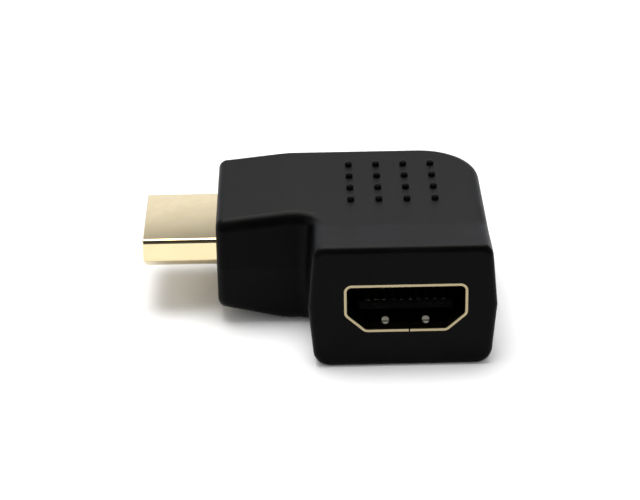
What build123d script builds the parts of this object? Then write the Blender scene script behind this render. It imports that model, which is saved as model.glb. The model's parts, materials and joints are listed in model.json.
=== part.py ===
from build123d import *
import math
import os

# Flat right-angle adapter between a plug and a socket of the same nineteen-contact family.
# Millimetres, Z up. The origin lies on the flat underside, where the axis of the plug
# (pointing along -X) crosses the axis of the socket (opening along -Y).

# Mating outline: the opening of the socket, wide edge up
OPENING_WIDTH = 14.0
OPENING_HEIGHT = 4.55
OPENING_SIDE = 2.9            # upright side, from the wide edge down to the chamfer
OPENING_FLOOR = 9.5           # width of the narrow edge between the chamfers
OPENING_BEND = 0.6            # inside radius of the folded corners
MATING_CLEARANCE = 0.05       # plug shell to opening, on every side
SHEET = 0.3                   # sheet metal of both shells
PUSH_FIT = 0.02               # insulator to shell and board to tabs, on every side

# Contacts
CONTACTS = 19                 # odd ones on the wide side, even ones on the narrow side
HALF_PITCH = 0.5              # step from one contact to the next, across both rows
STOCK = 0.2                   # contact sheet
TAIL_WIDTH = 0.35
TAIL_LENGTH = 2.6             # soldered length on the board

# Plug
PLUG_EXPOSED = 9.2            # shell in front of the housing
PLUG_BURIED = 4.2             # shell inside the housing
PLUG_RECESS = 0.4             # insulator behind the tip of the shell
TIP_BREAK = 0.12              # coined edge round the tip
SLOT_WIDTH = 11.8
SLOT_HEIGHT = 1.5
SLOT_DEPTH = 8.8              # from the tip of the shell
SLOT_BREAK = 0.2              # lead-in round the mouth of the slot
GROOVE_WIDTH = 0.55
GROOVE_FLOOR = 1.45           # bottom of each contact groove, from the plug axis
BEAM_NOSE = 0.9               # front end of a spring contact, from the tip of the shell
BEAM_NOSE_RISE = 0.78         # its height above the axis
BEAM_CROWN = 1.9              # point that touches the mating tongue
BEAM_CROWN_RISE = 0.42
BEAM_CROWN_RADIUS = 0.8
BEAM_ROOT = 7.6
BEAM_ROOT_RISE = 1.1
TAIL_STEP = 0.9               # length of the joggle from the beam down to the board
PLUG_SEAM_GAP = 0.06
DOVETAIL_START = 3.4          # from the tip of the shell
DOVETAIL_NECK = 1.2
DOVETAIL_REACH = 1.1
DOVETAIL_SPREAD = 0.3

# Socket
SOCKET_SHELL_LENGTH = 12.2
FLARE_RISE = 0.54             # how much the wide and narrow edges open out at the mouth
FLARE_LENGTH = 0.8
TONGUE_RECESS = 0.8           # tongue behind the mouth
TONGUE_WIDTH = 11.2
TONGUE_THICKNESS = 1.1
TONGUE_BREAK = 0.2            # lead-in round the front of the tongue
TONGUE_BASE = 2.8             # length of the block that carries the tongue
PAD_WIDTH = 0.5               # contact on the tongue
PAD_SETBACK = 0.35            # contact behind the front of the tongue
BARB_WIDTH = 0.66             # contact where it grips the base block
BARB_LENGTH = 1.0
SOCKET_SEAM_OFFSET = 0.4
SOCKET_SEAM_GAP = 0.15
FINGER_SPACING = 4.8          # between the two springs of one edge
FINGER_WIDTH = 0.9
FINGER_ROOT = 6.2             # from the mouth
FINGER_CROWN = 2.1
FINGER_CROWN_RISE = 0.42      # crown above the wall it is cut from
FINGER_CROWN_RADIUS = 0.7
FINGER_NOSE = 1.3
FINGER_NOSE_RISE = 0.08
WINDOW_WIDTH = 1.6
WINDOW_START = 1.0
RELIEF_DEPTH = 0.5            # free space behind each spring

# Solder tabs that hold both shells on the board
TAB_LENGTH = 2.6
TAB_HEIGHT = 1.2

# Board
BOARD_THICKNESS = 0.8
BOARD_GAP = 0.4               # board edge behind each connector
BOARD_CORNER = 3.0

# Inner mould round the board and the backs of both connectors
MOULD_MARGIN = 1.4            # plastic round the shells
MOULD_GRIP = 1.4              # how far it reaches over each shell

# Outer housing. Its side walls lean in by the draft, up and down from the parting line,
# which runs round it at the height of the axes. Plan sizes are those of the parting line.
FACE_HEIGHT = 15.8
AXIS_DROP = 0.1               # both connector axes below the middle of the face
HOUSING_SHIFT = 0.35          # both legs stand off their axes by this, away from the outer corner
SIDE_DRAFT = 5.0              # degrees
SOCKET_REACH = 21.7           # socket face from the plug axis
LEG_WIDTH = 22.4
LEG_DROP = 1.05               # elbow below the top of the face
BAR_REACH = 22.6              # plug end of the housing from the socket axis
BAR_WIDTH = 20.8
BAR_TOP_DROP = 1.0            # top and underside close in from the elbow to the plug end
BAR_UNDER_RISE = 1.95
TAPER_BLEND = 14.0            # radius where each taper starts
OUTER_CORNER = 8.0
INNER_CORNER = 1.2
LEVEL_START = 0.2             # level stretch between the inner corner and each taper
TOP_ROUND = 1.5
UNDER_ROUND = 2.0
FACE_ROUND = 0.8
END_ROUND = 1.1

# Grip nubs on the top
NUB_COUNT = 4                 # in each direction
NUB_PITCH = 3.45
NUB_CENTRE = (-0.85, -1.1)
NUB_DIAMETER = 0.85
NUB_HEIGHT = 0.35

# Sizes that follow from the ones above
AXIS_HEIGHT = FACE_HEIGHT / 2 - AXIS_DROP
LEG_HEIGHT = FACE_HEIGHT - LEG_DROP
PLUG_REACH = BAR_REACH + PLUG_EXPOSED
PLUG_SHELL_LENGTH = PLUG_EXPOSED + PLUG_BURIED
PLUG_OUTER = -MATING_CLEARANCE
PLUG_INNER = PLUG_OUTER - SHEET
CAVITY_DEPTH = SOCKET_SHELL_LENGTH - TONGUE_BASE
BOARD_FACE = BOARD_THICKNESS / 2
SHELL_HALF_HEIGHT = OPENING_HEIGHT / 2 + SHEET
LEG_RIGHT = LEG_WIDTH / 2 - HOUSING_SHIFT
LEG_LEFT = -LEG_WIDTH / 2 - HOUSING_SHIFT
BAR_BACK = BAR_WIDTH / 2 - HOUSING_SHIFT
BAR_FRONT = -BAR_WIDTH / 2 - HOUSING_SHIFT
BAR_START = LEG_LEFT - INNER_CORNER
LEG_START = BAR_FRONT - INNER_CORNER

# Each connector is drawn in its own frame: Z runs from its mating end into the housing,
# Y is up towards the wide edge, and X runs across.
PLUG_PLACE = Plane(origin=(-PLUG_REACH, 0, AXIS_HEIGHT), x_dir=(0, 1, 0), z_dir=(1, 0, 0))
SOCKET_PLACE = Plane(origin=(0, -SOCKET_REACH, AXIS_HEIGHT), x_dir=(-1, 0, 0), z_dir=(0, 1, 0))
SIDE_VIEW = Plane(origin=(0, 0, 0), x_dir=(0, 0, 1), z_dir=(-1, 0, 0))
TOP_VIEW = Plane(origin=(0, 0, 0), x_dir=(1, 0, 0), z_dir=(0, -1, 0))


def outline(grow, stretch=1.0):
    """The mating outline, grown evenly, with its height stretched about the axis."""
    side = OPENING_WIDTH / 2
    top = stretch * OPENING_HEIGHT / 2
    shoulder = top - stretch * OPENING_SIDE
    floor = OPENING_FLOOR / 2
    corners = [(-side, top), (side, top), (side, shoulder), (floor, -top), (-floor, -top), (-side, shoulder)]
    face = make_face(FilletPolyline(*corners, radius=OPENING_BEND, close=True))
    return offset(face, grow) if grow else face


def prism(section, start, end):
    """A section extruded between two depths of a connector's frame."""
    return Pos(0, 0, start) * extrude(section, end - start)


def block(across, up, start, end, x=0.0, y=0.0):
    """A rectangular block between two depths, centred at x and y."""
    return Pos(x, y, (start + end) / 2) * Box(across, up, end - start)


def bent_strip(path, radii, thickness, width):
    """Sheet of even thickness folded along (depth, height) points, thickness outwards."""
    line = FilletPolyline(*path, radius=radii)
    sheet = offset(line, thickness, kind=Kind.INTERSECTION, side=Side.LEFT, closed=True)
    face = make_face(sheet.edges())
    return extrude(SIDE_VIEW * face, width / 2, both=True)


def contact_places(direction):
    """Number, place across and row (+1 wide side, -1 narrow side) of every contact."""
    middle = (CONTACTS + 1) / 2
    for number in range(1, CONTACTS + 1):
        row = 1 if number % 2 else -1
        yield number, direction * (number - middle) * HALF_PITCH, row


def in_row(shape, across, row):
    """A shape drawn for the wide side, put in its row at its place across."""
    if row < 0:
        shape = mirror(shape, about=Plane.XZ)
    return Pos(across, 0, 0) * shape


def solder_tabs(inner_half_width, start, clearance=0.0):
    """The two tabs that run back from a shell's sides and hold the board between them."""
    centre = inner_half_width + SHEET / 2
    tab = block(SHEET + 2 * clearance, TAB_HEIGHT, start, start + TAB_LENGTH + clearance)
    return Pos(centre, 0, 0) * tab + Pos(-centre, 0, 0) * tab


def plug_shell():
    shell = prism(outline(PLUG_OUTER), 0, PLUG_SHELL_LENGTH)
    tip = shell.faces().sort_by(Axis.Z)[0]
    shell = chamfer(tip.edges(), TIP_BREAK)
    shell -= prism(outline(PLUG_INNER), 0, PLUG_SHELL_LENGTH)
    shell -= plug_seam()
    return shell + solder_tabs(OPENING_WIDTH / 2 + PLUG_INNER, PLUG_SHELL_LENGTH)


def plug_seam():
    """The joint of the folded sheet on the narrow side, locked by a dovetail."""
    wide = DOVETAIL_START - DOVETAIL_SPREAD
    far = DOVETAIL_START + DOVETAIL_NECK
    path = [
        (0, -1),
        (0, DOVETAIL_START),
        (DOVETAIL_REACH, wide),
        (DOVETAIL_REACH, far + DOVETAIL_SPREAD),
        (0, far),
        (0, PLUG_SHELL_LENGTH + 1),
    ]
    line = trace(Polyline(*path), line_width=PLUG_SEAM_GAP)
    return extrude(TOP_VIEW * line, OPENING_HEIGHT)


def plug_contact():
    """A spring contact of the wide side: nose, crown, beam, joggle and soldered tail."""
    back = PLUG_SHELL_LENGTH + BOARD_GAP / 2
    foot = back + TAIL_STEP
    path = [
        (BEAM_NOSE, BEAM_NOSE_RISE),
        (BEAM_CROWN, BEAM_CROWN_RISE),
        (BEAM_ROOT, BEAM_ROOT_RISE),
        (back, BEAM_ROOT_RISE),
        (foot, BOARD_FACE),
        (foot + TAIL_LENGTH, BOARD_FACE),
    ]
    return bent_strip(path, [BEAM_CROWN_RADIUS, 0, 0, 0], STOCK, TAIL_WIDTH)


def slot_lead_in():
    """The sloped edges round the mouth of the slot."""
    wide = Rectangle(SLOT_WIDTH + 2 * SLOT_BREAK, SLOT_HEIGHT + 2 * SLOT_BREAK)
    narrow = Rectangle(SLOT_WIDTH, SLOT_HEIGHT)
    return loft([Pos(0, 0, PLUG_RECESS) * wide, Pos(0, 0, PLUG_RECESS + SLOT_BREAK) * narrow], ruled=True)


def plug_insulator(contacts):
    body = prism(outline(PLUG_INNER - PUSH_FIT), PLUG_RECESS, PLUG_SHELL_LENGTH)
    body -= block(SLOT_WIDTH, SLOT_HEIGHT, PLUG_RECESS, SLOT_DEPTH)
    body -= slot_lead_in()
    depth = GROOVE_FLOOR - SLOT_HEIGHT / 2
    middle = (GROOVE_FLOOR + SLOT_HEIGHT / 2) / 2
    front_wall = PLUG_RECESS + SLOT_BREAK
    groove = block(GROOVE_WIDTH, depth, front_wall, SLOT_DEPTH, y=middle)
    grooves = [in_row(groove, across, row) for number, across, row in contact_places(-1)]
    return body - grooves - contacts


def socket_mouth(grow):
    """The flared front of the socket's shell, as a solid of the given growth."""
    stretch = 1 + 2 * FLARE_RISE / OPENING_HEIGHT
    flared = outline(grow, stretch)
    plain = Pos(0, 0, FLARE_LENGTH) * outline(grow)
    return loft([flared, plain], ruled=True)


def socket_envelope(grow, end=SOCKET_SHELL_LENGTH):
    """Everything inside the socket's outline, from the mouth to a depth."""
    return socket_mouth(grow) + prism(outline(grow), FLARE_LENGTH, end)


def spring_finger():
    """One spring of the wide edge, cut from the wall and bent into the opening."""
    wall = OPENING_HEIGHT / 2
    path = [
        (FINGER_NOSE, wall - FINGER_NOSE_RISE),
        (FINGER_CROWN, wall - FINGER_CROWN_RISE),
        (FINGER_ROOT, wall),
        (FINGER_ROOT + SHEET, wall),
    ]
    return bent_strip(path, [FINGER_CROWN_RADIUS, SHEET], SHEET, FINGER_WIDTH)


def finger_places():
    """Place across and edge (+1 wide, -1 narrow) of the four springs."""
    for row in (1, -1):
        for across in (-FINGER_SPACING / 2, FINGER_SPACING / 2):
            yield across, row


def finger_window(depth):
    """The cut round one spring, reaching a depth out from the inside of the wall."""
    reach = OPENING_HEIGHT / 2 + depth
    return block(WINDOW_WIDTH, reach, WINDOW_START, FINGER_ROOT, y=reach / 2)


def socket_shell():
    shell = socket_envelope(SHEET) - socket_envelope(0)
    shell -= [in_row(finger_window(SHEET), across, row) for across, row in finger_places()]
    shell += [in_row(spring_finger(), across, row) for across, row in finger_places()]
    shell -= block(SOCKET_SEAM_GAP, OPENING_HEIGHT, 0, SOCKET_SHELL_LENGTH,
                   x=-SOCKET_SEAM_OFFSET, y=-OPENING_HEIGHT / 2)
    return shell + solder_tabs(OPENING_WIDTH / 2, SOCKET_SHELL_LENGTH)


def socket_contact():
    """A flat contact of the wide side: pad on the tongue, barb in the base, tail on the board."""
    nose = TONGUE_RECESS + PAD_SETBACK
    barb = CAVITY_DEPTH + (TONGUE_BASE - BARB_LENGTH) / 2
    back = barb + BARB_LENGTH
    tail = SOCKET_SHELL_LENGTH + BOARD_GAP + TAIL_LENGTH
    half = [
        (PAD_WIDTH / 2, nose),
        (PAD_WIDTH / 2, barb),
        (BARB_WIDTH / 2, back - STOCK),
        (BARB_WIDTH / 2, back),
        (TAIL_WIDTH / 2, back),
        (TAIL_WIDTH / 2, tail),
    ]
    mirrored = [(-x, y) for x, y in reversed(half)]
    face = make_face(Polyline(*half, *mirrored, close=True))
    return Pos(0, BOARD_FACE + STOCK, 0) * extrude(TOP_VIEW * face, STOCK)


def socket_insulator(contacts):
    tongue = block(TONGUE_WIDTH, TONGUE_THICKNESS, TONGUE_RECESS, CAVITY_DEPTH)
    front = tongue.faces().sort_by(Axis.Z)[0]
    tongue = chamfer(front.edges(), TONGUE_BREAK)
    base = prism(outline(-PUSH_FIT), CAVITY_DEPTH, SOCKET_SHELL_LENGTH)
    return tongue + base - contacts


def circuit_board():
    """The L-shaped board between the tabs of the two shells."""
    left = -PLUG_REACH + PLUG_SHELL_LENGTH + BOARD_GAP
    front = -SOCKET_REACH + SOCKET_SHELL_LENGTH + BOARD_GAP
    arm = OPENING_WIDTH / 2 - PUSH_FIT
    bar = OPENING_WIDTH / 2 + PLUG_INNER - PUSH_FIT
    corners = [
        (left, -bar),
        (-arm, -bar),
        (-arm, front),
        (arm, front),
        (arm, bar - BOARD_CORNER),
        (arm - BOARD_CORNER, bar),
        (left, bar),
    ]
    face = make_face(Polyline(*corners, close=True))
    board = Pos(0, 0, AXIS_HEIGHT - BOARD_FACE) * extrude(face, BOARD_THICKNESS)
    board -= PLUG_PLACE * solder_tabs(OPENING_WIDTH / 2 + PLUG_INNER, PLUG_SHELL_LENGTH, PUSH_FIT)
    return board - SOCKET_PLACE * solder_tabs(OPENING_WIDTH / 2, SOCKET_SHELL_LENGTH, PUSH_FIT)


def connector_space():
    """The room that both connectors take up inside the mouldings."""
    plug = prism(outline(PLUG_OUTER), 0, PLUG_SHELL_LENGTH)
    return PLUG_PLACE * plug + SOCKET_PLACE * socket_envelope(SHEET)


def inner_mould_block():
    """The L-shaped block of the inner mould, before anything is taken out of it."""
    left = -PLUG_REACH + PLUG_SHELL_LENGTH - MOULD_GRIP
    front = -SOCKET_REACH + SOCKET_SHELL_LENGTH - MOULD_GRIP
    right = OPENING_WIDTH / 2 + SHEET + MOULD_MARGIN
    back = OPENING_WIDTH / 2 + PLUG_OUTER + MOULD_MARGIN
    height = 2 * (SHELL_HALF_HEIGHT + MOULD_MARGIN)
    corner = OUTER_CORNER - (LEG_RIGHT - right)
    corners = [(right, back), (left, back), (left, -back), (-right, -back), (-right, front), (right, front)]
    face = make_face(FilletPolyline(*corners, radius=[corner, 0, 0, 0, 0, 0], close=True))
    return Pos(0, 0, AXIS_HEIGHT - height / 2) * extrude(face, height)


def housing_plan():
    """The L at the parting line, running on past both ends."""
    past = BAR_WIDTH
    corners = [
        (LEG_RIGHT, -SOCKET_REACH - past),
        (LEG_RIGHT, BAR_BACK),
        (-BAR_REACH - past, BAR_BACK),
        (-BAR_REACH - past, BAR_FRONT),
        (LEG_LEFT, BAR_FRONT),
        (LEG_LEFT, -SOCKET_REACH - past),
    ]
    return make_face(FilletPolyline(*corners, radius=[0, OUTER_CORNER, 0, 0, INNER_CORNER, 0], close=True))


def drafted_walls():
    """The plan raised and sunk from the parting line with the draft on both sides of it."""
    plan = housing_plan()
    upper = extrude(plan, FACE_HEIGHT - AXIS_HEIGHT, taper=SIDE_DRAFT)
    lower = extrude(plan, AXIS_HEIGHT, taper=SIDE_DRAFT)
    return Pos(0, 0, AXIS_HEIGHT) * (upper + mirror(lower, about=Plane.XY))


def taper_corner(start, end, rise):
    """Where a level line meets a taper that reaches rise at end, if their blend begins at start."""
    length = start - end
    height = TAPER_BLEND - rise
    swing = math.atan2(length, height) - math.acos(TAPER_BLEND / math.hypot(length, height))
    return start - TAPER_BLEND * math.tan(swing / 2)


def leg_side_view():
    """The leg seen from the side: level at the elbow, then rising to the face."""
    bend = taper_corner(LEG_START - LEVEL_START, -SOCKET_REACH, LEG_DROP)
    line = FilletPolyline(
        (BAR_WIDTH, LEG_HEIGHT),
        (bend, LEG_HEIGHT),
        (-SOCKET_REACH, FACE_HEIGHT),
        (-SOCKET_REACH, 0),
        (BAR_WIDTH, 0),
        radius=[0, TAPER_BLEND, 0, 0, 0],
        close=True,
    )
    return Pos(BAR_START, 0, 0) * extrude(Plane.YZ * make_face(line), LEG_WIDTH * 2)


def bar_side_view():
    """The bar that carries the plug: top and underside close in towards its end."""
    level_end = BAR_START - LEVEL_START
    line = FilletPolyline(
        (BAR_START, LEG_HEIGHT),
        (taper_corner(level_end, -BAR_REACH, BAR_TOP_DROP), LEG_HEIGHT),
        (-BAR_REACH, LEG_HEIGHT - BAR_TOP_DROP),
        (-BAR_REACH, BAR_UNDER_RISE),
        (taper_corner(level_end, -BAR_REACH, BAR_UNDER_RISE), 0),
        (BAR_START, 0),
        radius=[0, TAPER_BLEND, 0, 0, TAPER_BLEND, 0],
        close=True,
    )
    return extrude(Plane.XZ * make_face(line), BAR_WIDTH, both=True)


def rim_edges(body):
    """The long edges between the side walls and the top or underside."""
    lean = math.sin(math.radians(2 * SIDE_DRAFT))
    upright = body.faces().filter_by(lambda face: abs(face.normal_at().Z) < lean)
    ends = ShapeList([body.faces().sort_by(Axis.X)[0], body.faces().sort_by(Axis.Y)[0]])
    walls = upright - ends
    level = body.faces() - upright
    return walls.edges() & level.edges()


def housing_body():
    """The outer form, before the connectors and the inner mould are taken out of it."""
    body = drafted_walls() & (leg_side_view() + bar_side_view())
    body = fillet(rim_edges(body).filter_by(lambda edge: edge.center().Z > AXIS_HEIGHT), TOP_ROUND)
    body = fillet(rim_edges(body).filter_by(lambda edge: edge.center().Z < AXIS_HEIGHT), UNDER_ROUND)
    body = fillet(body.faces().sort_by(Axis.Y)[0].edges(), FACE_ROUND)
    return fillet(body.faces().sort_by(Axis.X)[0].edges(), END_ROUND)


def grip_nubs():
    """The square grid of round nubs, standing on the level part of the top."""
    nub = Pos(*NUB_CENTRE, LEG_HEIGHT) * Cylinder(NUB_DIAMETER / 2, 2 * NUB_HEIGHT)
    return [place * nub for place in GridLocations(NUB_PITCH, NUB_PITCH, NUB_COUNT, NUB_COUNT)]


def housing():
    body = housing_body() + grip_nubs()
    body -= inner_mould_block() + connector_space()
    return body - [
        SOCKET_PLACE * in_row(finger_window(SHEET + RELIEF_DEPTH), across, row)
        for across, row in finger_places()
    ]


def inner_mould(parts):
    return inner_mould_block() - connector_space() - parts


def save(name, shape):
    export_step(shape, "parts/" + name + ".step")


def main():
    os.makedirs("parts", exist_ok=True)
    plug_contacts = [in_row(plug_contact(), across, row) for number, across, row in contact_places(-1)]
    socket_contacts = [in_row(socket_contact(), across, row) for number, across, row in contact_places(1)]
    shell_in = PLUG_PLACE * plug_shell()
    shell_out = SOCKET_PLACE * socket_shell()
    board = circuit_board()
    placed_plug = [PLUG_PLACE * contact for contact in plug_contacts]
    placed_socket = [SOCKET_PLACE * contact for contact in socket_contacts]
    save("housing", housing())
    save("inner_mould", inner_mould([board, shell_in, shell_out, *placed_plug, *placed_socket]))
    save("circuit_board", board)
    save("plug_shell", shell_in)
    save("plug_insulator", PLUG_PLACE * plug_insulator(plug_contacts))
    save("socket_shell", shell_out)
    save("socket_insulator", SOCKET_PLACE * socket_insulator(socket_contacts))
    for number, contact in enumerate(placed_plug, 1):
        save(f"plug_contact_{number:02d}", contact)
    for number, contact in enumerate(placed_socket, 1):
        save(f"socket_contact_{number:02d}", contact)


main()
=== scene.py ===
"""The looks of the right-angle adapter: finishes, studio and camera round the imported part."""

import json
import math

import bmesh
import bpy
from mathutils import Matrix, Vector


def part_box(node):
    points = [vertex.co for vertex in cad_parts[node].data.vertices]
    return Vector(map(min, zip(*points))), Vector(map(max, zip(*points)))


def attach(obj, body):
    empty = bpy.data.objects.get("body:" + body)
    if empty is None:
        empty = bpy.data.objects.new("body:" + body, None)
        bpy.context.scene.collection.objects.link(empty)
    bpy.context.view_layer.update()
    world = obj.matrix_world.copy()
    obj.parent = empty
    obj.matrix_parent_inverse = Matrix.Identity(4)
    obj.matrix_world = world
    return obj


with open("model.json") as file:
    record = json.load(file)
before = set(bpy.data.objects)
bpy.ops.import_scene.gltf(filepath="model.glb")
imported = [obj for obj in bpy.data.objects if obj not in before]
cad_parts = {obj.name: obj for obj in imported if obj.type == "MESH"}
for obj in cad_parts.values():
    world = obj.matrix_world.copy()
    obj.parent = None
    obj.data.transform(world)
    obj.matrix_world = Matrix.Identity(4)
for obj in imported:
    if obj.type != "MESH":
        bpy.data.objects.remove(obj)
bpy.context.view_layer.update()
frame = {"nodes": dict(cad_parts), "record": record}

MM = 0.001

# Camera, in the part's own frame, fitted to the outlines in the photograph
IMAGE_WIDTH = 640             # pixels
SENSOR_WIDTH = 36.0           # mm
FOCAL_PIXELS = 2183.5
CAMERA_PLACE = Vector((-12.05, -248.70, 128.74)) * MM
CAMERA_PITCH = math.radians(26.476)
CAMERA_YAW = math.radians(0.510)
CAMERA_ROLL = math.radians(-0.928)

# Base colours, each from the darkest to the lightest of its unevenness
PLASTIC_BLACK = (0.0014, 0.0024)
RESIN_BLACK = (0.0012, 0.0028)
SHELL_GOLD = ((0.78, 0.65, 0.39), (0.81, 0.675, 0.415))
CONTACT_GOLD = ((0.50, 0.47, 0.34), (0.60, 0.56, 0.42))
MOULD_WHITE = ((0.74, 0.74, 0.70), (0.84, 0.84, 0.80))
BOARD_GREEN = ((0.02, 0.17, 0.07), (0.03, 0.23, 0.09))
# painted shade: the dark brown laid over the gold inside the socket, where the same gold only lies in shade
SOCKET_PAINTED_SHADE = (0.022, 0.019, 0.014)
# painted highlight: a pale grey, not metal, on the noses of the two lower springs
SPRING_NOSE_PAINTED_HIGHLIGHT = (0.5, 0.48, 0.4)

# Socket: where painted shade darkens its gold behind the mouth, and the painted highlights on the noses of
# its two lower springs
MOUTH_SHADE_START = 0.18 * MM        # the fade starts this far in front of the mouth
MOUTH_FADE = 0.15 * MM        # and ends this far behind it
SPRING_SPREAD = 2.4 * MM      # each spring from the middle
SPRING_NOSE_DEPTH = 1.3 * MM  # behind the mouth
SPRING_NOSE_DROP = 2.25 * MM  # below the axis
SPRING_NOSE_SIZE = Vector((0.5, 0.75, 0.4)) * MM

# Grip nubs on the top of the housing
NUB_COUNT = 4
NUB_PITCH = 3.45 * MM
NUB_CENTRE = Vector((-0.85, -1.1, 14.75)) * MM
NUB_RADIUS = 0.44 * MM
NUB_STRAIGHT = 0.33 * MM      # upright part of a nub's side
NUB_HEIGHT = 0.64 * MM
NUB_POINT = 1.35              # 1 would be a cone above the upright part, and 2 a dome
NUB_SIDES = 24
NUB_RINGS = 7
NUB_WEAR = 0.003              # how much greyer than the housing, by handling

# Studio, in metres and watts
FLOOR_SIZE = 6.0
FLOOR_DROP = 0.02 * MM        # below the part's base
FLOOR_WHITE = 0.98
WORLD_FILL = 0.67             # even light on dull surfaces
WORLD_REFLECTED = 0.05        # the world in reflections
GLOSS_LAMP_SIZE = 0.7         # behind and above, seen only in reflections
GLOSS_LAMP_PLACE = (0, 0.36, 0.55)
GLOSS_LAMP_WATTS = 8.8
GLOSS_LAMP_COLOUR = (1.0, 0.97, 0.93)
FLOOR_LAMP_SIZE = 0.4         # above, lights dull surfaces alone and casts the shadow
FLOOR_LAMP_PLACE = (-0.06, 0.07, 0.6)
FLOOR_LAMP_WATTS = 3.2
WALL_RADIUS = 150 * MM
WALL_HEIGHT = 120 * MM
WALL_LIGHT = (                # height and light, linear between them
    (58 * MM, 0.62),
    (71 * MM, 1.0),
    (77 * MM, 0.98),
    (81.5 * MM, 0.63),
    (85.5 * MM, 0.2),
    (91 * MM, 0.10),
)
WALL_COLOUR = (0.91, 0.93, 1.0, 1.0)
WALL_STRENGTH = 1.28
WALL_UPPER_LIGHT = 0.5        # least light to both sides, so its top is dark only straight behind the plug
WALL_UPPER_MIDDLE = -12 * MM
WALL_UPPER_FROM = 40 * MM
WALL_UPPER_TO = 80 * MM
WALL_FRONT_LIGHT = 0.16       # the wall stays dark on the camera's side
WALL_FRONT_FROM = -70 * MM
WALL_FRONT_TO = -10 * MM


class Shader:
    """A material's node tree, with short calls to add, set and link nodes."""

    def __init__(self, name):
        self.material = bpy.data.materials.new(name)
        self.material.use_nodes = True
        self.tree = self.material.node_tree
        self.tree.nodes.clear()
        self.output = self.add("ShaderNodeOutputMaterial")

    def add(self, kind, inputs=None, **settings):
        node = self.tree.nodes.new(kind)
        for key, value in settings.items():
            setattr(node, key, value)
        for key, value in (inputs or {}).items():
            if isinstance(value, bpy.types.NodeSocket):
                self.tree.links.new(value, node.inputs[key])
            else:
                node.inputs[key].default_value = value
        return node

    def place(self, stretch=(1.0, 1.0, 1.0)):
        """Object coordinates, stretched along each axis."""
        coordinates = self.add("ShaderNodeTexCoord").outputs["Object"]
        return self.add("ShaderNodeMapping", {"Vector": coordinates, "Scale": stretch}).outputs["Vector"]

    def noise(self, size, detail=2.0, stretch=(1.0, 1.0, 1.0)):
        """Noise whose features are about the given size, in metres."""
        inputs = {"Vector": self.place(stretch), "Scale": 1 / size, "Detail": detail}
        return self.add("ShaderNodeTexNoise", inputs).outputs["Fac"]

    def spread(self, value, low, high, start=0.35, end=0.65):
        """A value mapped from its usual span to low and high."""
        inputs = {"Value": value, "From Min": start, "From Max": end, "To Min": low, "To Max": high}
        return self.add("ShaderNodeMapRange", inputs).outputs["Result"]

    def math(self, operation, first, second=0.0):
        return self.add("ShaderNodeMath", {0: first, 1: second}, operation=operation).outputs["Value"]

    def blend(self, value, first, second):
        """Colour that runs from first to second as value runs over noise's usual span."""
        ramp = self.add("ShaderNodeValToRGB", {"Fac": value})
        for stop, place, colour in zip(ramp.color_ramp.elements, (0.35, 0.65), (first, second)):
            stop.position = place
            stop.color = (*colour, 1.0)
        return ramp.outputs["Color"]

    def bump(self, height, depth, strength=1.0):
        inputs = {"Height": height, "Distance": depth, "Strength": strength}
        return self.add("ShaderNodeBump", inputs).outputs["Normal"]

    def mix(self, share, first, second):
        """Colour that runs from first at share 0 to second at share 1."""
        node = self.add("ShaderNodeMix", {"Factor": share}, data_type="RGBA")
        for key, value in (("A", first), ("B", second)):
            socket = next(s for s in node.inputs if s.name == key and s.type == "RGBA")
            if isinstance(value, bpy.types.NodeSocket):
                self.tree.links.new(value, socket)
            else:
                socket.default_value = (*value, 1.0)
        return next(s for s in node.outputs if s.type == "RGBA")

    def finish(self, **inputs):
        """The surface itself, from the principled shader's own sockets."""
        named = {key.replace("_", " "): value for key, value in inputs.items()}
        shader = self.add("ShaderNodeBsdfPrincipled", named)
        self.tree.links.new(shader.outputs["BSDF"], self.output.inputs["Surface"])
        return self.material


def housing_plastic(name="housing_plastic", wear=0.0):
    """Black plastic with a fine spark-eroded grain and a slight unevenness of sheen. Wear greys it."""
    shader = Shader(name)
    grain = shader.noise(0.16 * MM, detail=3.0)
    flow = shader.noise(6 * MM, detail=2.0)
    colour = shader.blend(flow, *([level + wear] * 3 for level in PLASTIC_BLACK))
    rough = shader.spread(flow, 0.36, 0.43)
    normal = shader.bump(grain, 0.012 * MM, strength=0.5)
    return shader.finish(Base_Color=colour, Roughness=rough, IOR=1.13, Normal=normal)


def gold_shell():
    """Thin pale gold over rolled sheet, rougher inside the socket, with painted shade over the gold there and
    painted highlights on two spring noses.
    """
    shader = Shader("gold_shell")
    lines = shader.noise(0.12 * MM, detail=2.0, stretch=(0.2, 0.2, 1.0))
    cloud = shader.noise(3 * MM, detail=2.0)
    inside = socket_painted_shade_mask(shader)
    nose = painted_spring_nose_highlight(shader)
    # painted shade: behind the mouth the gold gives way to a dark brown
    gold = shader.mix(inside, shader.blend(cloud, *SHELL_GOLD), SOCKET_PAINTED_SHADE)
    # painted highlight: the two lower spring noses are pale grey instead of gold
    colour = shader.mix(nose, gold, SPRING_NOSE_PAINTED_HIGHLIGHT)
    rough = shader.math("MAXIMUM", shader.spread(lines, 0.08, 0.10), shader.math("MULTIPLY", inside, 0.5))
    # painted highlight: the noses are not metal, so they catch light as a dull grey
    metal = shader.math("SUBTRACT", 1.0, nose)
    return shader.finish(Base_Color=colour, Metallic=metal, Roughness=rough)


def socket_painted_shade_mask(shader):
    """Mask of the painted shade, also used for roughness: 0 on the plug and at the socket's mouth, and 1 from
    a short way behind the mouth.
    """
    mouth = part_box("socket_shell")[0][1]
    plug_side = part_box("plug_shell")[0][1]
    y = shader.add("ShaderNodeSeparateXYZ", {"Vector": shader.place()}).outputs["Y"]
    depth = shader.spread(y, 0.0, 1.0, start=mouth - MOUTH_SHADE_START, end=mouth + MOUTH_FADE)
    return shader.math("MULTIPLY", depth, shader.math("LESS_THAN", y, plug_side - MOUTH_FADE))


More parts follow.
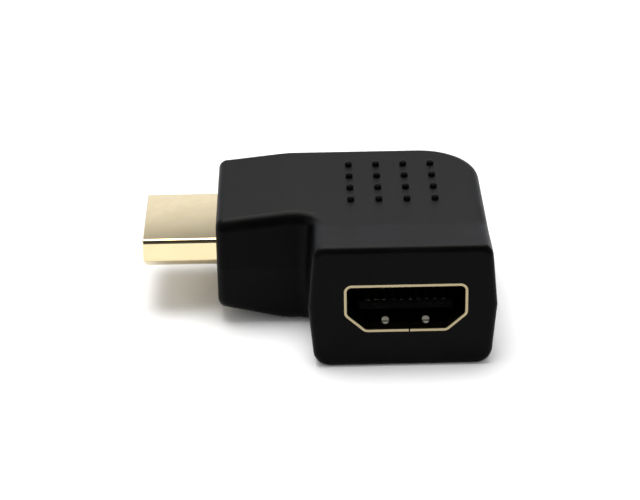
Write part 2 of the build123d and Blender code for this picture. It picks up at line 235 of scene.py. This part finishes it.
def painted_spring_nose_highlight(shader):
    """Mask of the painted highlights: 1 on the noses of the two lower springs, and 0 elsewhere."""
    low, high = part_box("socket_shell")
    axis = (low[2] + high[2]) / 2
    place = shader.add("ShaderNodeSeparateXYZ", {"Vector": shader.place()})
    values = (shader.math("ABSOLUTE", place.outputs["X"]), place.outputs["Y"], place.outputs["Z"])
    centre = (SPRING_SPREAD, low[1] + SPRING_NOSE_DEPTH, axis - SPRING_NOSE_DROP)
    squares = []
    for value, middle, size in zip(values, centre, SPRING_NOSE_SIZE):
        away = shader.math("DIVIDE", shader.math("SUBTRACT", value, middle), size)
        squares.append(shader.math("POWER", shader.math("ABSOLUTE", away), 2.0))
    total = shader.math("ADD", shader.math("ADD", squares[0], squares[1]), squares[2])
    return shader.spread(total, 1.0, 0.0, start=0.7, end=1.1)


def contact_gold():
    """Hard gold on the stamped contacts."""
    shader = Shader("contact_gold")
    marks = shader.noise(0.08 * MM, detail=2.0)
    colour = shader.blend(marks, *CONTACT_GOLD)
    rough = shader.spread(marks, 0.3, 0.42)
    return shader.finish(Base_Color=colour, Metallic=1.0, Roughness=rough)


def black_carrier():
    """Black glass-filled resin of the contact carriers."""
    shader = Shader("black_carrier")
    flow = shader.noise(0.5 * MM, detail=4.0)
    colour = shader.blend(flow, *([level] * 3 for level in RESIN_BLACK))
    rough = shader.spread(flow, 0.55, 0.7)
    return shader.finish(Base_Color=colour, Roughness=rough, IOR=1.05)


def inner_plastic():
    """Natural translucent plastic of the inner mould."""
    shader = Shader("inner_plastic")
    cloud = shader.noise(2.5 * MM, detail=3.0)
    colour = shader.blend(cloud, *MOULD_WHITE)
    rough = shader.spread(cloud, 0.4, 0.55)
    return shader.finish(Base_Color=colour, Roughness=rough)


def board_laminate():
    """Green solder mask over woven laminate."""
    shader = Shader("board_laminate")
    weave = shader.noise(0.4 * MM, detail=2.0)
    colour = shader.blend(weave, *BOARD_GREEN)
    rough = shader.spread(weave, 0.25, 0.4)
    return shader.finish(Base_Color=colour, Roughness=rough)


def dress_nodes():
    """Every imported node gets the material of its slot."""
    makers = (housing_plastic, gold_shell, contact_gold, black_carrier, inner_plastic, board_laminate)
    materials = {maker.__name__: maker() for maker in makers}
    slots = {row["node"]: row["material_slot"] for row in frame["record"]["subparts"]}
    for name, node in frame["nodes"].items():
        node.data.materials.clear()
        node.data.materials.append(materials[slots[name]])


def nub_mesh():
    """A round nub with an upright foot and a blunt point, standing on the origin."""
    shape = bmesh.new()
    profile = [(NUB_RADIUS, 0.0)]
    for step in range(NUB_RINGS):
        rise = step / NUB_RINGS
        profile.append((
            NUB_RADIUS * (1 - rise ** NUB_POINT) ** (1 / NUB_POINT),
            NUB_STRAIGHT + (NUB_HEIGHT - NUB_STRAIGHT) * rise,
        ))
    turns = [2 * math.pi * k / NUB_SIDES for k in range(NUB_SIDES)]
    circles = []
    for radius, height in profile:
        circles.append([shape.verts.new((radius * math.cos(t), radius * math.sin(t), height)) for t in turns])
    for low, high in zip(circles, circles[1:]):
        for k in range(NUB_SIDES):
            after = (k + 1) % NUB_SIDES
            shape.faces.new((low[k], low[after], high[after], high[k]))
    tip = shape.verts.new((0, 0, NUB_HEIGHT))
    for k in range(NUB_SIDES):
        shape.faces.new((circles[-1][k], circles[-1][(k + 1) % NUB_SIDES], tip))
    shape.faces.new(reversed(circles[0]))
    for face in shape.faces:
        face.smooth = len(face.verts) < NUB_SIDES
    mesh = bpy.data.meshes.new("grip_nub")
    shape.to_mesh(mesh)
    shape.free()
    return mesh


def add_nubs(material):
    """The full height of the grip nubs, over their feet on the housing."""
    mesh = nub_mesh()
    mesh.materials.append(material)
    middle = (NUB_COUNT - 1) / 2
    for row in range(NUB_COUNT):
        for column in range(NUB_COUNT):
            nub = bpy.data.objects.new(f"grip_nub_{row + 1}_{column + 1}", mesh)
            bpy.context.scene.collection.objects.link(nub)
            offset = Vector((column - middle, row - middle, 0)) * NUB_PITCH
            nub.location = NUB_CENTRE + offset
            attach(nub, "root")


def grey(level):
    """An opaque grey of one level."""
    return level, level, level, 1.0


def make_floor():
    """A level white floor, seen only from above, so that a view from below shows the part."""
    bpy.ops.mesh.primitive_plane_add(size=FLOOR_SIZE, location=(0, 0, -FLOOR_DROP))
    floor = bpy.context.object
    floor.name = "floor"
    shader = Shader("floor_paper")
    paper = shader.add("ShaderNodeBsdfDiffuse", {"Color": grey(FLOOR_WHITE)})
    clear = shader.add("ShaderNodeBsdfTransparent")
    from_below = shader.add("ShaderNodeNewGeometry").outputs["Backfacing"]
    one_sided = shader.add("ShaderNodeMixShader", {"Fac": from_below})
    shader.tree.links.new(paper.outputs["BSDF"], one_sided.inputs[1])
    shader.tree.links.new(clear.outputs["BSDF"], one_sided.inputs[2])
    shader.tree.links.new(one_sided.outputs["Shader"], shader.output.inputs["Surface"])
    floor.data.materials.append(shader.material)


def make_wall():
    """A low wall round the part, seen only in reflections: white to a height of 80 mm, and dark above."""
    bpy.ops.mesh.primitive_cylinder_add(
        vertices=96, radius=WALL_RADIUS, depth=WALL_HEIGHT, end_fill_type="NOTHING",
        location=(0, 0, WALL_HEIGHT / 2),
    )
    wall = bpy.context.object
    wall.name = "low_wall"
    shader = Shader("wall_paper")
    place = shader.add("ShaderNodeSeparateXYZ", {"Vector": shader.place()})
    height = shader.math("ADD", shader.math("DIVIDE", place.outputs["Z"], WALL_HEIGHT), 0.5)
    ramp = shader.add("ShaderNodeValToRGB", {"Fac": height})
    stops = ramp.color_ramp.elements
    while len(stops) < len(WALL_LIGHT):
        stops.new(0.5)
    for stop, (rise, level) in zip(stops, WALL_LIGHT):
        stop.position = rise / WALL_HEIGHT
        stop.color = grey(level)
    back = shader.spread(place.outputs["Y"], WALL_FRONT_LIGHT, 1.0, start=WALL_FRONT_FROM, end=WALL_FRONT_TO)
    away = shader.math("ABSOLUTE", shader.math("SUBTRACT", place.outputs["X"], WALL_UPPER_MIDDLE))
    upper = shader.spread(away, 0.0, WALL_UPPER_LIGHT, start=WALL_UPPER_FROM, end=WALL_UPPER_TO)
    light = shader.math("MULTIPLY", shader.math("MAXIMUM", ramp.outputs["Color"], upper), back)
    light = shader.math("MULTIPLY", light, WALL_STRENGTH)
    glow = shader.add("ShaderNodeEmission", {"Color": WALL_COLOUR, "Strength": light})
    shader.tree.links.new(glow.outputs["Emission"], shader.output.inputs["Surface"])
    wall.data.materials.append(shader.material)
    wall.visible_camera = False
    wall.visible_diffuse = False
    wall.visible_shadow = False


def make_world():
    """White where the camera looks, an even fill on dull surfaces, and a dark room in reflections."""
    world = bpy.data.worlds.new("studio")
    world.use_nodes = True
    tree = world.node_tree
    back = tree.nodes["Background"]
    back.inputs["Color"].default_value = grey(1.0)
    path = tree.nodes.new("ShaderNodeLightPath")
    fill = tree.nodes.new("ShaderNodeMapRange")
    tree.links.new(path.outputs["Is Glossy Ray"], fill.inputs["Value"])
    fill.inputs["To Min"].default_value = WORLD_FILL
    fill.inputs["To Max"].default_value = WORLD_REFLECTED
    seen = tree.nodes.new("ShaderNodeMix")
    tree.links.new(path.outputs["Is Camera Ray"], seen.inputs["Factor"])
    tree.links.new(fill.outputs["Result"], seen.inputs["A"])
    seen.inputs["B"].default_value = 1.0
    tree.links.new(seen.outputs["Result"], back.inputs["Strength"])
    bpy.context.scene.world = world


def make_lamp(name, place, size, watts):
    """A square soft box that faces the part."""
    data = bpy.data.lights.new(name, "AREA")
    data.shape = "SQUARE"
    data.size = size
    data.energy = watts
    lamp = bpy.data.objects.new(name, data)
    lamp.location = place
    lamp.rotation_euler = (-Vector(place)).to_track_quat("-Z", "Y").to_euler()
    bpy.context.scene.collection.objects.link(lamp)
    return lamp


def make_camera():
    """The photograph's camera, from its place and three turns."""
    pitch, yaw, roll = CAMERA_PITCH, CAMERA_YAW, CAMERA_ROLL
    ahead = Vector((math.sin(yaw) * math.cos(pitch), math.cos(yaw) * math.cos(pitch), -math.sin(pitch)))
    level = Vector((math.cos(yaw), -math.sin(yaw), 0))
    above = level.cross(ahead)
    right = level * math.cos(roll) + above * math.sin(roll)
    up = above * math.cos(roll) - level * math.sin(roll)
    data = bpy.data.cameras.new("camera")
    data.sensor_width = SENSOR_WIDTH
    data.lens = FOCAL_PIXELS * SENSOR_WIDTH / IMAGE_WIDTH
    data.clip_start = 0.01
    data.clip_end = 20
    camera = bpy.data.objects.new("camera", data)
    camera.matrix_world = Matrix.Translation(CAMERA_PLACE) @ Matrix((right, up, -ahead)).transposed().to_4x4()
    bpy.context.scene.collection.objects.link(camera)
    bpy.context.scene.camera = camera


bpy.context.scene.view_settings.view_transform = "Standard"
make_camera()
make_world()
make_floor()
make_wall()
gloss_lamp = make_lamp("gloss_lamp", GLOSS_LAMP_PLACE, GLOSS_LAMP_SIZE, GLOSS_LAMP_WATTS)
gloss_lamp.visible_diffuse = False
gloss_lamp.data.color = GLOSS_LAMP_COLOUR
floor_lamp = make_lamp("floor_lamp", FLOOR_LAMP_PLACE, FLOOR_LAMP_SIZE, FLOOR_LAMP_WATTS)
floor_lamp.visible_glossy = False
dress_nodes()
add_nubs(housing_plastic("nub_plastic", wear=NUB_WEAR))
